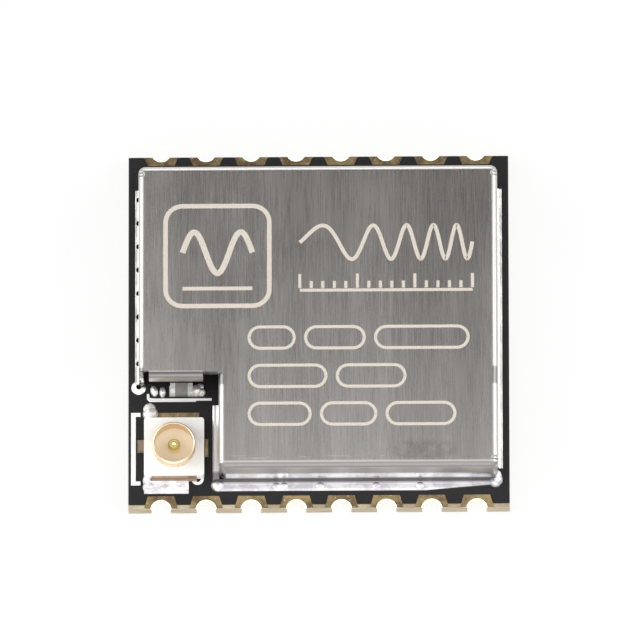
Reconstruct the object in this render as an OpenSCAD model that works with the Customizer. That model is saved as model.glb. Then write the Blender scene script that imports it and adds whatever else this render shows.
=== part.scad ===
// Castellated radio module. A routed circuit board carries half-hole pads along both
// long sides, a folded shield can with a stepped corner, and a miniature coaxial
// receptacle with its matching parts in that step. The transceiver chip, crystal,
// antenna switch and chip passives stand under the can.
// Millimetres. +Z is up from the undersides of the pads, +X runs along the longer
// side, and the receptacle's corner is at -X, -Y.

/* [Board] */
// length along X
board_l = 16.9; // [16.8:0.1:18]
// width along Y
board_w = 16.2; // [16:0.1:17]
// thickness over the copper of both faces
board_t = 0.8; // [0.6:0.1:1.2]
// copper foil with its plating
copper_t = 0.035; // [0.025:0.005:0.05]
// how far bare copper stands proud of the solder mask
mask_step = 0.005; // [0.002:0.001:0.01]
// bare gap between the solder mask and any copper it opens for
mask_gap = 0.03; // [0.01:0.005:0.04]
// how far the solder mask stops short of the board's ends
mask_setback = 0.06; // [0.02:0.01:0.1]
// how far the solder mask stops short of the long edges of the copper pattern
mask_edge = 0.08; // [0.05:0.01:0.15]
// how far the routed outline lies towards the front of the copper pattern
route_shift = 0.1; // [0:0.02:0.14]
// thickness of the white legend ink
ink_t = 0.02; // [0.01:0.005:0.03]

/* [Castellated pads] */
// least bare edge between the end pads and the board's ends
pad_end_room = 0.5; // [0.3:0.05:0.7]
// distance between neighbouring pads
pad_pitch = 2; // [1.95:0.01:2.05]
// length of a pad on the upper face
pad_reach = 0.48; // [0.4:0.01:0.52]
// length of a pad on the underside
pad_under_reach = 0.8; // [0.6:0.1:1.2]
// width of a pad at its inner end
pad_inner_w = 1.16; // [1:0.02:1.4]
// width of a pad at the board's edge
pad_edge_w = 1.5; // [1.4:0.02:1.6]
// radius of the plated half-hole
half_hole_r = 0.4; // [0.36:0.01:0.45]
// how far outside the edge the half-hole's centre lies
half_hole_out = 0.15; // [0.05:0.01:0.2]
// width of the worn rim round a half-hole
rim_w = 0.06; // [0.02:0.01:0.08]
// wall of copper inside a plated hole
plating_t = 0.03; // [0.02:0.005:0.04]

/* [Shield can] */
// distance of the can's end walls from the board's ends
can_from_end = 0.49; // [0.45:0.01:0.6]
// distance of the can's long walls from the board's edges
can_from_edge = 1.16; // [1.1:0.01:1.25]
// height above the board
can_h = 2.4; // [2.1:0.1:3]
// sheet thickness
sheet_t = 0.2; // [0.15:0.01:0.2]
// radius inside each fold
fold_in_r = 0.1; // [0.05:0.01:0.12]
// how far the end walls stop short of the folds of the long walls
wall_end_gap = 0.2; // [0.1:0.02:0.4]
// room between the receptacle's housing and the wall of the step
step_room_side = 0.67; // [0.62:0.01:0.85]
// room between the receptacle's housing and the short flap
step_room_back = 1.37; // [1.25:0.01:1.45]
// length of the short flap over the matching parts
flap_l = 2.39; // [1.8:0.01:2.4]
// start of the short flap from the can's end face
flap_from_end = 0.47; // [0.4:0.01:0.5]
// drop of the short flap below the can's top
flap_drop = 0.74; // [0.5:0.02:0.9]
// how far the roof beside the flap runs on past the fold line
roof_lip = 0.13; // [0.05:0.01:0.16]

/* [Shield land and solder] */
// land showing outside the can's end walls
land_out_end = 0.22; // [0.2:0.01:0.24]
// bare board between the land and the pads of the front edge
land_to_pads = 0.18; // [0.1:0.01:0.22]
// land showing outside the back wall
land_out_back = 0.3; // [0.2:0.01:0.4]
// land reaching inside the walls
land_in = 0.35; // [0.25:0.01:0.4]
// land showing beside the wall of the step
land_out_step = 0.32; // [0.25:0.01:0.36]
// height of the solder against the walls
fillet_h = 0.3; // [0.2:0.02:0.4]
// radius of the solder blobs at the ends of the joint
blob_r = 0.32; // [0.28:0.01:0.34]
// stitching holes down the left end of the can
via_n = 9; // [5:1:9]
// radius of a finished stitching hole
via_r = 0.12; // [0.1:0.01:0.13]
// distance from the can's back face to the first stitching hole
via_from_back = 0.92; // [0.8:0.01:1.1]

/* [Coaxial receptacle] */
// distance of its signal strip from the board's left end
rx_strip_to_end = 0.44; // [0.4:0.01:0.5]
// distance of its housing from the pads of the front edge
rx_to_pads = 0.78; // [0.7:0.01:0.82]
// side of the square housing
rx_body = 2.66; // [2.5:0.02:2.68]
// height of the square housing
rx_body_h = 0.6; // [0.5:0.02:0.7]
// height of the round shell above its seat
rx_shell_h = 1.25; // [1.1:0.01:1.4]
// outer radius of the round shell
rx_shell_r = 0.96; // [0.94:0.01:1.02]
// wall of the round shell
rx_shell_t = 0.08; // [0.06:0.01:0.1]
// radius of the centre pin
rx_pin_r = 0.27; // [0.2:0.01:0.3]
// height of the centre pin above the seat
rx_pin_h = 0.95; // [0.85:0.01:1]
// height of the floor inside the shell
rx_floor_h = 0.4; // [0.36:0.01:0.46]
// thickness of the contact strips and tabs
rx_tab_t = 0.12; // [0.1:0.01:0.15]
// width of the ground tabs
rx_tab_w = 2; // [1.8:0.02:2]
// reach of the ground tabs from the axis
rx_tab_reach = 1.45; // [1.4:0.01:1.48]
// width of the signal strip
rx_strip_w = 0.5; // [0.4:0.02:0.56]
// how far the signal strip lies behind the axis
rx_strip_shift = 0.18; // [0:0.02:0.2]
// reach of the signal strip from the axis
rx_strip_reach = 1.6; // [1.5:0.01:1.62]

/* [Chip parts] */
// length of a chip passive
chip_part_l = 1; // [0.9:0.02:1.04]
// width of a chip passive
chip_part_w = 0.5; // [0.4:0.02:0.52]
// height of a chip capacitor or inductor
chip_part_h = 0.5; // [0.4:0.02:0.6]
// height of a chip resistor
resistor_h = 0.35; // [0.3:0.01:0.4]
// length of each end terminal
terminal_l = 0.22; // [0.18:0.01:0.26]
// thickness of solder under every part
joint_t = 0.04; // [0.02:0.01:0.06]
// distance between neighbouring passives under the can
row_pitch = 1.2; // [1.1:0.02:1.22]
// capacitors in the row behind the transceiver
capacitor_n = 5; // [2:1:5]
// inductors in the column at the right of the transceiver
inductor_n = 4; // [2:1:4]
// resistors in the row before the transceiver
resistor_n = 4; // [2:1:4]

/* [Parts under the can] */
// side of the transceiver package
ic_side = 6; // [5.9:0.05:6.1]
// height of the transceiver package
ic_h = 0.85; // [0.75:0.05:1]
// bare length of each side at both corners
ic_corner = 0.9; // [0.85:0.05:1.3]
// distance between neighbouring leads
ic_pitch = 0.65; // [0.6:0.01:0.66]
// distance of the thermal pad from the sides of the package
ic_thermal_inset = 0.85; // [0.75:0.05:1]
// crystal length
xtal_l = 3.2; // [3:0.1:3.3]
// crystal width
xtal_w = 2.5; // [2.3:0.1:2.6]
// height of the crystal's ceramic base
xtal_base_h = 0.45; // [0.35:0.05:0.6]
// height of the crystal's lid above the base
xtal_lid_h = 0.28; // [0.2:0.02:0.4]
// antenna switch length
switch_l = 2; // [1.9:0.05:2.1]
// antenna switch width
switch_w = 1.25; // [1.15:0.05:1.3]
// antenna switch height
switch_h = 0.95; // [0.85:0.05:1.1]

/* [Hidden] */
$fn = 64;

laminate_top = board_t - copper_t;
mask_t = copper_t - mask_step;
mask_top = laminate_top + mask_t;
can_top = board_t + can_h;
fold_r = fold_in_r + sheet_t;
half_l = board_l / 2 - can_from_end;
half_w = board_w / 2 - can_from_edge;
pad_n = floor((board_l - pad_edge_w - 2 * pad_end_room) / pad_pitch) + 1;
rx_x = rx_strip_to_end + rx_strip_reach - board_l / 2;
rx_y = pad_reach + rx_to_pads + rx_body / 2 - board_w / 2;
rx_z = board_t + joint_t;
rx_land_y = rx_body / 2 + rx_to_pads - 0.09;
rx_lump_y = rx_body / 2 + step_room_back - 0.82;
step_x = rx_x + rx_body / 2 + step_room_side;
step_y = rx_y + rx_body / 2 + step_room_back;
land_out_front = can_from_edge - pad_reach - land_to_pads;
flap_x = flap_from_end - half_l;
flap_end = flap_x + flap_l;
lip_y = step_y + fold_r - roof_lip;
side_wall_y = half_w - fold_r - wall_end_gap;
via_x = -half_l - 0.03;
via_first_y = half_w - via_from_back;
end_blob_y = step_y + 0.18;
via_pitch = (via_first_y - end_blob_y) / (via_n - 1);
match_x = (flap_x + flap_end) / 2 + 0.21;
match_y = step_y;
match_reach = chip_part_l / 2 + 0.12;
part_z = board_t + joint_t;
// the parts under the can share the room between its walls evenly
room_x = half_l - sheet_t;
room_y = half_w - sheet_t;
gap_x = (2 * room_x - xtal_l - ic_side - chip_part_l) / 4;
gap_y = (2 * room_y - ic_side - 2 * chip_part_l) / 4;
xtal_x = gap_x + xtal_l / 2 - room_x;
ic_x = xtal_x + xtal_l / 2 + gap_x + ic_side / 2;
ic_y = 0;
inductor_x = room_x - gap_x - chip_part_l / 2;
row_x = ic_x - 0.4;
row_y = room_y - gap_y - chip_part_l / 2;
switch_span = switch_w + 2 * 0.5;
left_gap = (room_y - step_y - fold_r - xtal_w - switch_span) / 3;
xtal_y = room_y - left_gap - xtal_w / 2;
switch_x = xtal_x;
switch_y = step_y + fold_r + left_gap + switch_span / 2;
ic_thermal = ic_side - 2 * ic_thermal_inset;
ic_lead_n = floor((ic_side - 2 * ic_corner) / ic_pitch) + 1;
cut = 0.1;

// A rectangle with round corners, centred.
module round_square(l, w, r) {
    square([l - 2 * r, w], center = true);
    square([l, w - 2 * r], center = true);
    for (x = [-1, 1], y = [-1, 1])
        translate([x * (l / 2 - r), y * (w / 2 - r)]) circle(r);
}

// A rectangle between two corner points.
module span(x0, y0, x1, y1) {
    translate([x0, y0]) square([x1 - x0, y1 - y0]);
}

// A low dome of solder on a flat face.
module dome(r, h) {
    ball = (r * r + h * h) / (2 * h);
    rotate_extrude() intersection() {
        translate([0, h - ball]) circle(ball);
        square([r + 1, h + 1]);
    }
}

// Places its children at each pad of the front edge, with +Y running inwards.
module at_front_pads() {
    for (i = [0:pad_n - 1])
        translate([(i - (pad_n - 1) / 2) * pad_pitch, -board_w / 2, 0]) children();
}

// A pad's outline from the edge inwards. It widens towards the edge, and past it.
module pad_2d(reach, grow, past) {
    flare = (pad_edge_w - pad_inner_w) / 2 / reach * past;
    edge = pad_edge_w / 2 + flare + grow;
    inner = pad_inner_w / 2 + grow;
    polygon([[-edge, -past], [edge, -past], [inner, reach + grow], [-inner, reach + grow]]);
}

// Moves what follows the copper pattern off the centre of the routed outline.
module at_pattern() {
    translate([0, route_shift, 0]) children();
}

module half_hole(r, h, shift) {
    translate([0, shift - half_hole_out, -cut]) cylinder(r = r, h = h + 2 * cut);
}

// One pad: upper and lower land joined by the copper wall of the half-hole. The
// router leaves shift more of it on one long edge, and takes as much off the other.
module castellation(shift) {
    wide = half_hole_r + plating_t;
    difference() {
        union() {
            linear_extrude(copper_t) pad_2d(pad_under_reach + shift, 0, 0);
            translate([0, 0, laminate_top]) linear_extrude(copper_t)
                pad_2d(pad_reach + shift, 0, 0);
            intersection() {
                translate([0, shift - half_hole_out, 0]) cylinder(r = wide, h = board_t);
                translate([-wide, 0, 0]) cube([2 * wide, 2 * wide, board_t]);
            }
        }
        half_hole(half_hole_r, board_t, shift);
        translate([0, shift - half_hole_out, laminate_top])
            cylinder(r1 = half_hole_r, r2 = half_hole_r + 2 * rim_w, h = 2 * copper_t);
        translate([0, shift - half_hole_out, -copper_t])
            cylinder(r1 = half_hole_r + 2 * rim_w, r2 = half_hole_r, h = 2 * copper_t);
    }
}

module castellations_front() {
    color("goldenrod") at_front_pads() castellation(route_shift);
}

module castellations_back() {
    color("goldenrod") rotate([0, 0, 180]) at_front_pads() castellation(-route_shift);
}

module at_vias() {
    for (i = [0:via_n - 1])
        translate([via_x, via_first_y - i * via_pitch, 0]) children();
}

module at_thermal_vias() {
    for (x = [-1:1], y = [-1:1])
        translate([ic_x + x * ic_thermal / 3.5, ic_y + y * ic_thermal / 3.5, 0]) children();
}

// Laminate with its half-holes and drilled holes.
module circuit_board() {
    color("tan") difference() {
        translate([-board_l / 2, -board_w / 2, copper_t])
            cube([board_l, board_w, laminate_top - copper_t]);
        for (side = [1, -1])
            rotate([0, 0, 90 - 90 * side]) at_front_pads()
                half_hole(half_hole_r + plating_t, board_t, side * route_shift);
        at_pattern() at_vias() cylinder(r = via_r + plating_t, h = board_t);
        at_pattern() at_thermal_vias() cylinder(r = via_r + plating_t, h = board_t);
    }
}

// The shield's land follows the foot of every full wall.
module shield_land_2d(grow) {
    end_x = half_l + land_out_end + grow;
    in_x = half_l - sheet_t - land_in - grow;
    front_y = -half_w - land_out_front - grow;
    front_in_y = -half_w + sheet_t + land_in + grow;
    back_y = half_w + land_out_back + grow;
    back_in_y = half_w - sheet_t - land_in - grow;
    step_out_x = step_x - land_out_step - grow;
    step_in_x = step_x + sheet_t + land_in + grow;
    step_end_y = step_y - 0.66 + grow;
    strip_x = -half_l + sheet_t + 0.06 + grow;
    chamfer = 0.28;
    polygon([
        [-end_x, end_blob_y], [-end_x, back_y], [end_x, back_y],
        [end_x, front_y + chamfer + 0.25], [end_x - chamfer, front_y + 0.25],
        [end_x - chamfer - 2.8, front_y], [step_out_x, front_y],
        [step_out_x, step_end_y], [step_in_x, step_end_y], [step_in_x, front_in_y],
        [in_x, front_in_y], [in_x, back_in_y], [-in_x, back_in_y],
        [-in_x, step_y + fold_r - grow], [strip_x, step_y + fold_r - grow],
        [strip_x, end_blob_y]
    ]);
    translate([via_x, end_blob_y]) circle(blob_r - 0.04 + grow);
    translate([step_x - 0.06, -half_w - 0.17]) circle(blob_r - 0.04 + grow);
}

module shield_land() {
    color("goldenrod") at_pattern() difference() {
        union() {
            translate([0, 0, laminate_top]) linear_extrude(copper_t) shield_land_2d(0);
            at_vias() translate([0, 0, copper_t])
                cylinder(r = via_r + plating_t, h = laminate_top - copper_t);
        }
        at_vias() cylinder(r = via_r, h = board_t + cut);
    }
}

// The receptacle's lands: two ground lands, the signal land and a small spare.
module receptacle_lands_2d(grow) {
    tab_x = rx_tab_w / 2;
    side_x = rx_body / 2 + 0.03;
    translate([rx_x, rx_y]) {
        span(-tab_x - 0.1 - grow, 0.95 - grow, tab_x + 0.1 + grow,
            rx_tab_reach + 0.27 + grow);
        span(-1.34 - grow, 1.3 - grow, -0.86 + grow, rx_lump_y + 0.16 + grow);
        span(-1.37 - grow, -1.44 - grow, tab_x + grow, -0.95 + grow);
        span(-1.37 - grow, -rx_land_y - grow, 0.66 + grow, -1.4 + grow);
        span(-rx_strip_reach - 0.04 - grow, rx_strip_shift - 0.28 - grow, -1.3 + grow,
            rx_strip_shift + 0.28 + grow);
        span(side_x - grow, -0.3 - grow, side_x + 0.14 + grow, 0.5 + grow);
    }
}

module receptacle_lands() {
    color("goldenrod") at_pattern() translate([0, 0, laminate_top])
        linear_extrude(copper_t) receptacle_lands_2d(0);
}

// Lands of the matching parts: two under the capacitor, one beside it, two left bare.
module match_lands_2d(grow) {
    reach = match_reach;
    half = chip_part_w / 2 - 0.02;
    low = half - 0.02;
    translate([match_x, match_y]) {
        span(-reach - grow, -half - grow, -reach + 0.4 + grow, half + grow);
        span(reach - 0.4 - grow, -half - grow, reach + grow, half + grow);
        span(reach + 0.1 - grow, -half - grow, reach + 0.4 + grow, half + grow);
        span(-reach - 0.31 - grow, -low + 0.04 - grow, -reach - 0.15 + grow, low - 0.04 + grow);
        span(-reach - 0.7 - grow, -low + 0.04 - grow, -reach - 0.5 + grow, low - 0.04 + grow);
    }
}

module match_lands() {
    color("goldenrod") at_pattern() translate([0, 0, laminate_top])
        linear_extrude(copper_t) match_lands_2d(0);
}

// Places its children at each lead of the transceiver, with +Y pointing outwards.
module at_ic_leads() {
    for (a = [0:90:270], i = [0:ic_lead_n - 1])
        translate([ic_x, ic_y, 0]) rotate([0, 0, a])
            translate([(i - (ic_lead_n - 1) / 2) * ic_pitch, ic_side / 2, 0]) children();
}

module transceiver_lands_2d(grow) {
    at_ic_leads() span(-0.15 - grow, -0.5 - grow, 0.15 + grow, 0.3 + grow);
    translate([ic_x, ic_y]) square(ic_thermal + 2 * grow, center = true);
}

module transceiver_lands() {
    color("goldenrod") at_pattern() difference() {
        union() {
            translate([0, 0, laminate_top]) linear_extrude(copper_t)
                transceiver_lands_2d(0);
            at_thermal_vias() translate([0, 0, copper_t])
                cylinder(r = via_r + plating_t, h = laminate_top - copper_t);
        }
        at_thermal_vias() cylinder(r = via_r, h = board_t + cut);
    }
}

module at_crystal_lands() {
    for (x = [-1, 1], y = [-1, 1])
        translate([xtal_x + x * (xtal_l / 2 - 0.5), xtal_y + y * (xtal_w / 2 - 0.42), 0])
            children();
}

module crystal_lands_2d(grow) {
    at_crystal_lands() square([1.2 + 2 * grow, 1 + 2 * grow], center = true);
}

module crystal_lands() {
    color("goldenrod") at_pattern() translate([0, 0, laminate_top])
        linear_extrude(copper_t) crystal_lands_2d(0);
}

// Places its children at each lead of the antenna switch, with +Y pointing outwards.
module at_switch_leads() {
    for (a = [0, 180], i = [-1:1])
        translate([switch_x, switch_y, 0]) rotate([0, 0, a])
            translate([i * 0.65, switch_w / 2, 0]) children();
}

module switch_lands_2d(grow) {
    at_switch_leads() span(-0.2 - grow, 0.05 - grow, 0.2 + grow, 0.65 + grow);
}

module switch_lands() {
    color("goldenrod") at_pattern() translate([0, 0, laminate_top])
        linear_extrude(copper_t) switch_lands_2d(0);
}

// Rows of passives round the transceiver, each with its length along local X.
module at_capacitors() {
    for (i = [0:capacitor_n - 1])
        translate([row_x + (i - (capacitor_n - 1) / 2) * row_pitch, row_y, 0])
            rotate([0, 0, 90]) children();
}

module at_inductors() {
    for (i = [0:inductor_n - 1])
        translate([inductor_x, ic_y + (i - (inductor_n - 1) / 2) * row_pitch, 0]) children();
}

module at_resistors() {
    for (i = [0:resistor_n - 1])
        translate([row_x + (i - (resistor_n - 1) / 2) * row_pitch, -row_y, 0])
            rotate([0, 0, 90]) children();
}

module at_passives() {
    at_capacitors() children();
    at_inductors() children();
    at_resistors() children();
}

module passive_lands_2d(grow) {
    at_passives() for (s = [-1, 1])
        translate([s * (chip_part_l / 2 - 0.05), 0])
            square([0.44 + 2 * grow, chip_part_w + 0.06 + 2 * grow], center = true);
}

module passive_lands() {
    color("goldenrod") at_pattern() translate([0, 0, laminate_top])
        linear_extrude(copper_t) passive_lands_2d(0);
}

module mask_sheet_2d(under) {
    reach = under ? pad_under_reach : pad_reach;
    difference() {
        intersection() {
            square([board_l - 2 * mask_setback, board_w], center = true);
            translate([0, route_shift])
                square([board_l, board_w - 2 * mask_edge], center = true);
        }
        for (side = [1, -1])
            rotate([0, 0, 90 - 90 * side]) at_front_pads()
                pad_2d(reach + side * route_shift, mask_gap, cut);
    }
}

module solder_mask_top() {
    color([0.16, 0.15, 0.15]) translate([0, 0, laminate_top]) linear_extrude(mask_t)
        difference() {
            mask_sheet_2d(false);
            translate([0, route_shift]) {
                shield_land_2d(mask_gap);
                receptacle_lands_2d(mask_gap);
                match_lands_2d(mask_gap);
                transceiver_lands_2d(mask_gap);
                crystal_lands_2d(mask_gap);
                switch_lands_2d(mask_gap);
                passive_lands_2d(mask_gap);
            }
        }
}

module solder_mask_bottom() {
    color([0.16, 0.15, 0.15]) translate([0, 0, mask_step])
        linear_extrude(mask_t) mask_sheet_2d(true);
}

// White legend: a line before the matching parts, a bracket left of the receptacle
// and a hook at its front right corner.
module legend_ink() {
    line_x = match_x + 1.735;
    line_y = step_y - 0.4;
    hook_x = rx_body / 2 + step_room_side - 0.82;
    left_x = -rx_strip_reach - 0.11;
    color("white") at_pattern() translate([0, 0, mask_top]) linear_extrude(ink_t) {
        span(line_x - 2.95, line_y - 0.08, line_x - 1.1, line_y + 0.08);
        span(line_x - 1.2, line_y - 0.03, line_x - 0.4, line_y + 0.08);
        polygon([
            [line_x - 3.17, line_y - 0.08], [line_x - 2.9, line_y - 0.08],
            [line_x - 2.9, line_y + 0.08], [line_x - 3.155, line_y + 0.1],
            [line_x - 3.18, line_y + 0.3], [line_x - 3.28, line_y + 0.28],
            [line_x - 3.28, line_y + 0.05]
        ]);
        translate([rx_x, rx_y]) {
            span(left_x - 0.21, -1.61, left_x, 1.72);
            span(left_x - 0.1, 1.54, left_x + 0.21, 1.72);
            span(left_x - 0.1, -1.61, left_x + 0.21, -1.43);
            span(hook_x, -1.32, hook_x + 0.13, -0.7);
            difference() {
                translate([hook_x - 0.15, -1.32]) circle(0.28);
                translate([hook_x - 0.15, -1.32]) circle(0.15);
                span(hook_x - 0.56, -1.32, hook_x + 0.24, -0.9);
            }
        }
    }
}

// A wall folded down from the roof. Its outer face is y = 0 and its inside is at +Y.
module fold_2d(foot) {
    translate([0, foot]) square([sheet_t, can_top - fold_r - foot]);
    translate([fold_r, can_top - fold_r]) intersection() {
        difference() {
            circle(fold_r);
            circle(fold_in_r);
        }
        translate([-fold_r, 0]) square(fold_r);
    }
}

module fold(length, foot) {
    rotate([90, 0, 90]) linear_extrude(length) fold_2d(foot);
}

module shield_can() {
    flat_x = half_l - fold_r;
    flat_y = half_w - fold_r;
    flat_step_x = step_x + fold_r;
    flat_step_y = step_y + fold_r;
    color("silver") at_pattern() {
        translate([0, 0, can_top - sheet_t]) linear_extrude(sheet_t) polygon([
            [-flat_x, flat_y], [-flat_x, flat_step_y], [flap_end, flat_step_y],
            [flap_end, lip_y], [flat_step_x, lip_y], [flat_step_x, -flat_y],
            [flat_x, -flat_y], [flat_x, flat_y]
        ]);
        translate([flat_step_x, -half_w, 0]) fold(flat_x - flat_step_x, board_t);
        translate([flat_x, half_w, 0]) rotate([0, 0, 180]) fold(2 * flat_x, board_t);
        translate([half_l, -side_wall_y, 0]) rotate([0, 0, 90])
            fold(2 * side_wall_y, board_t);
        translate([-half_l, side_wall_y, 0]) rotate([0, 0, -90])
            fold(side_wall_y - flat_step_y, board_t);
        translate([step_x, lip_y, 0]) rotate([0, 0, -90]) fold(lip_y + flat_y, board_t);
        translate([flap_x, step_y, 0]) fold(flap_l, can_top - flap_drop);
    }
}

// Solder against a wall, from its face out over the land.
module fillet(length, reach) {
    rotate([90, 0, 90]) linear_extrude(length) polygon([
        [0, 0], [-reach, 0], [-reach, 0.03], [-0.8 * reach, 0.08], [-0.4 * reach, 0.08],
        [-0.15 * reach, 0.13], [0, fillet_h]
    ]);
}

module shield_solder() {
    front_x = step_x + fold_r;
    front_reach = land_out_front - 0.03;
    end_reach = land_out_end - 0.03;
    end_y = side_wall_y;
    corner_x = half_l - fold_r;
    front_l = corner_x - front_x - 2.9;
    start_x = step_x - 0.1;
    color("gainsboro") at_pattern() translate([0, 0, board_t]) {
        intersection() {
            translate([start_x, -half_w, 0]) fillet(corner_x - start_x, front_reach);
            linear_extrude(1) polygon([
                [start_x, -half_w + cut], [start_x, -half_w - front_reach],
                [corner_x - 2.9, -half_w - front_reach],
                [corner_x, -half_w - 0.5 * front_reach], [corner_x, -half_w + cut]
            ]);
        }
        for (share = [0.25, 0.29, 0.47, 0.75, 0.97])
            translate([front_x + share * front_l, -half_w - 0.24, 0.05]) dome(0.2, 0.1);
        translate([corner_x, half_w, 0]) rotate([0, 0, 180])
            fillet(2 * corner_x, land_out_back - 0.03);
        translate([half_l, -end_y, 0]) rotate([0, 0, 90]) fillet(2 * end_y, end_reach);
        difference() {
            translate([-half_l, end_y, 0]) rotate([0, 0, -90])
                fillet(end_y - step_y - fold_r, end_reach);
            at_vias() translate([0, 0, -cut]) cylinder(r = via_r, h = 1);
        }
        translate([step_x, step_y - 0.68, 0]) rotate([0, 0, -90])
            fillet(half_w + step_y - 0.68, land_out_step - 0.02);
        // blob at the free end of the left wall, open over the last stitching hole
        difference() {
            translate([via_x, end_blob_y, 0]) dome(blob_r, 0.14);
            translate([via_x, end_blob_y, -cut]) cylinder(r = via_r, h = 1);
            translate([-half_l, step_y + fold_r, -cut]) cube([1, 1, 1]);
        }
        // blobs that close the two open corners at the front
        difference() {
            translate([step_x - 0.06, -half_w - 0.17, 0]) dome(blob_r, 0.22);
            translate([step_x + fold_r, -half_w, -cut]) cube([1, 1, 1]);
            translate([step_x, -half_w + fold_r, -cut]) cube([1, 1, 1]);
        }
        difference() {
            translate([half_l - 0.16, -half_w + 0.06, 0]) dome(0.34, 0.3);
            translate([corner_x - 1, -half_w, -cut]) cube([1, 1, 2]);
            translate([half_l - 1, -end_y, -cut]) cube([1, 1, 2]);
        }
    }
}

// The receptacle's round ground shell: a thin tube with a snap groove round its
// outside, standing on two legs that end in solder tabs.
module shell_solid() {
    outer = rx_shell_r;
    inner = rx_shell_r - rx_shell_t;
    groove = rx_shell_r - rx_shell_t / 2;
    base = rx_tab_t + 0.14;
    rotate_extrude() polygon([
        [inner, base], [outer, base], [outer, rx_shell_h - 0.46],
        [groove, rx_shell_h - 0.4], [groove, rx_shell_h - 0.26],
        [outer, rx_shell_h - 0.2], [outer, rx_shell_h - 0.04],
        [groove, rx_shell_h], [inner, rx_shell_h - 0.02]
    ]);
    for (s = [-1, 1]) scale([1, s, 1]) {
        translate([-rx_tab_w / 2, inner - 0.1, 0])
            cube([rx_tab_w, rx_tab_reach - inner + 0.1, rx_tab_t]);
        translate([-rx_tab_w / 2, rx_body / 2 - 0.06, 0])
            cube([rx_tab_w, 0.09, rx_body_h - 0.06]);
        intersection() {
            difference() {
                cylinder(r = outer, h = base);
                translate([0, 0, -cut]) cylinder(r = inner, h = base + 2 * cut);
            }
            translate([-0.5, 0.5, 0]) cube([1, 1, base]);
        }
    }
}

// The signal contact: a drawn pin with a flared foot and a dimpled end on a flat strip.
module contact_solid() {
    rotate_extrude() polygon([
        [0, 0], [rx_pin_r + 0.1, 0], [rx_pin_r, rx_floor_h], [rx_pin_r, rx_pin_h - 0.08],
        [rx_pin_r - 0.06, rx_pin_h], [0.09, rx_pin_h], [0, rx_pin_h - 0.07]
    ]);
    translate([-rx_strip_reach, rx_strip_shift - rx_strip_w / 2, 0])
        cube([rx_strip_reach, rx_strip_w, rx_tab_t]);
}

module receptacle_shell() {
    color("gold") at_pattern() translate([rx_x, rx_y, rx_z]) shell_solid();
}

module receptacle_contact() {
    color("gold") at_pattern() translate([rx_x, rx_y, rx_z]) contact_solid();
}

module receptacle_housing() {
    color("ivory") at_pattern() translate([rx_x, rx_y, rx_z]) difference() {
        linear_extrude(rx_body_h) round_square(rx_body, rx_body, 0.12);
        translate([0, 0, rx_floor_h])
            cylinder(r = rx_shell_r - rx_shell_t / 2, h = rx_body_h);
        shell_solid();
        contact_solid();
    }
}

// Solder at the receptacle's tabs, with the lumps left by hand soldering.
module receptacle_solder() {
    tab_x = rx_tab_w / 2;
    color("gainsboro") at_pattern() translate([rx_x, rx_y, board_t]) {
        translate([-tab_x, 0.97, 0]) cube([2 * tab_x, rx_tab_reach - 0.97, joint_t]);
        translate([-tab_x, -rx_tab_reach, 0]) cube([2 * tab_x, rx_tab_reach - 0.97, joint_t]);
        translate([-rx_strip_reach, rx_strip_shift - rx_strip_w / 2, 0])
            cube([rx_strip_reach - rx_body / 2 + 0.01, rx_strip_w, joint_t]);
        difference() {
            union() {
                translate([-1.34, -rx_tab_reach, 0])
                    fillet_low(1.98, rx_land_y - rx_tab_reach - 0.02);
                translate([-1.1, 0.33 - rx_land_y, 0]) dome(0.3, 0.2);
                translate([-0.4, 0.29 - rx_land_y, 0]) dome(0.27, 0.15);
                translate([0.2, 0.29 - rx_land_y, 0]) dome(0.26, 0.13);
                translate([-1.06, rx_tab_reach + 0.21, 0]) dome(0.34, 0.24);
                translate([-1.1, rx_lump_y, 0]) dome(0.28, 0.16);
            }
            translate([-tab_x, -rx_tab_reach, -cut])
                cube([2 * tab_x, 2 * rx_tab_reach, 1]);
            translate([-rx_body / 2, -rx_body / 2, -cut]) cube([rx_body, rx_body, 1]);
        }
    }
}

module fillet_low(length, reach) {
    rotate([90, 0, 90]) linear_extrude(length) polygon([
        [0, 0], [-reach, 0], [-reach, 0.03], [-0.6 * reach, 0.08], [0, 0.15]
    ]);
}

// A chip passive with its length along X, standing on z = 0.
module part_body(h) {
    body_l = chip_part_l - 2 * terminal_l;
    translate([-body_l / 2, -chip_part_w / 2, 0]) cube([body_l, chip_part_w, h]);
}

module part_terminals(h) {
    for (s = [-1, 1]) scale([s, 1, 1])
        translate([chip_part_l / 2 - terminal_l, -chip_part_w / 2, 0])
            cube([terminal_l, chip_part_w, h]);
}

module part_joints() {
    for (s = [-1, 1]) scale([s, 1, 1])
        translate([chip_part_l / 2 - terminal_l, -chip_part_w / 2, 0])
            cube([terminal_l + 0.1, chip_part_w, joint_t]);
}

module match_capacitor_body() {
    color("gray") at_pattern() translate([match_x, match_y, part_z]) part_body(chip_part_h);
}

module match_capacitor_terminals() {
    color("gainsboro") at_pattern() translate([match_x, match_y, part_z])
        part_terminals(chip_part_h);
}

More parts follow.
